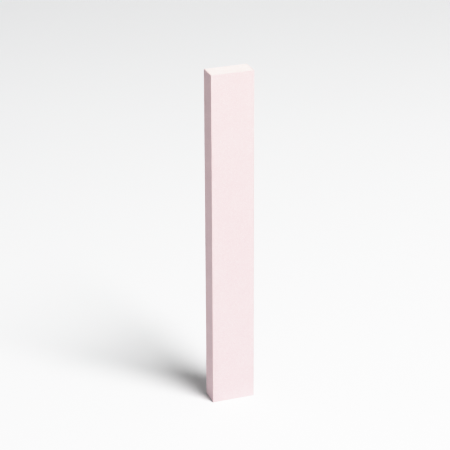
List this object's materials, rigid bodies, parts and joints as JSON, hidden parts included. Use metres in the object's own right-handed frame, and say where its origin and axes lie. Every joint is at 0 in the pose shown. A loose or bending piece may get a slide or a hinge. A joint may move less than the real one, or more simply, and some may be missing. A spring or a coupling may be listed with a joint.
{
  "type": "nail buffer block",
  "caption": "Slim rectangular nail buffer bar: a foam core with pink abrasive sheets bonded to its long faces, held in the hand to smooth and buff nails.",
  "frame": {"origin": "centre of the base end, the end that the block stands on", "axes": "+Z along the block from the base end to the top end, -Y out of the front broad face, +X out of the right narrow face"},
  "size_m": [0.0224, 0.0104, 0.178],
  "materials": {
    "foam": "matte",
    "adhesive": "satin",
    "backing": "matte",
    "grit_coat": "matte"
  },
  "bodies": {
    "root": {"foam_core": "foam", "front_adhesive": "adhesive", "front_backing": "backing", "front_grit_coat": "grit_coat", "back_adhesive": "adhesive", "back_backing": "backing", "back_grit_coat": "grit_coat", "left_adhesive": "adhesive", "left_backing": "backing", "left_grit_coat": "grit_coat", "right_adhesive": "adhesive", "right_backing": "backing", "right_grit_coat": "grit_coat"}
  },
  "joints": []
}
